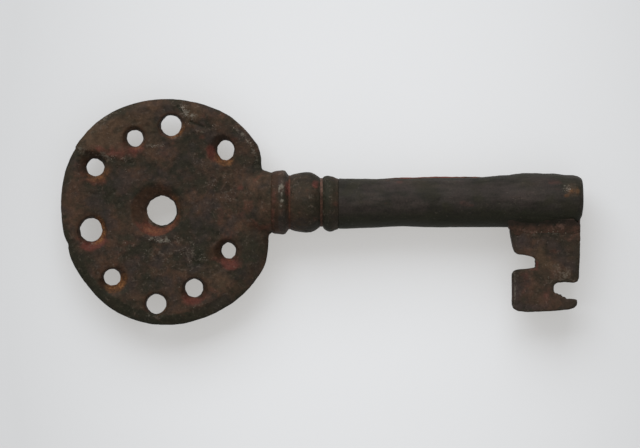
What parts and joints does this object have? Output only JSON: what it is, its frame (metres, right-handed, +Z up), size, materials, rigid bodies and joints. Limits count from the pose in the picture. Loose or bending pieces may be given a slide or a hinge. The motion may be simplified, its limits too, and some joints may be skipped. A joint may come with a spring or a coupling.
{
  "type": "iron key with pierced disc bow and hollow shank",
  "caption": "Forged iron pipe key with a flat round pierced bow, a moulded neck, a hollow shank and a bit with ward cuts.",
  "frame": {"origin": "under the middle of the key's box, at the lowest point of the neck collar, with the key lying flat", "axes": "+X along the shank from the bow to the mouth of the pipe, +Y away from the bit, +Z up out of the flat of the bow"},
  "size_m": [0.1044, 0.0452, 0.0129],
  "materials": {
    "bow_iron": "forged, worn dark brown with rust in the holes",
    "neck_iron": "filed mouldings, worn dark brown",
    "pipe_iron": "smooth, nearly black brown",
    "bit_iron": "rough, reddish brown",
    "copper_braze": "tarnished copper braze, rust red"
  },
  "bodies": {
    "root": {"bow_disc": "bow_iron", "neck_collar": "neck_iron", "collar_braze": "copper_braze", "neck_bead": "neck_iron", "bead_braze": "copper_braze", "pipe_ferrule": "neck_iron", "shank_pipe": "pipe_iron", "seam_braze": "copper_braze", "bit": "bit_iron", "bit_braze": "copper_braze"}
  },
  "joints": []
}
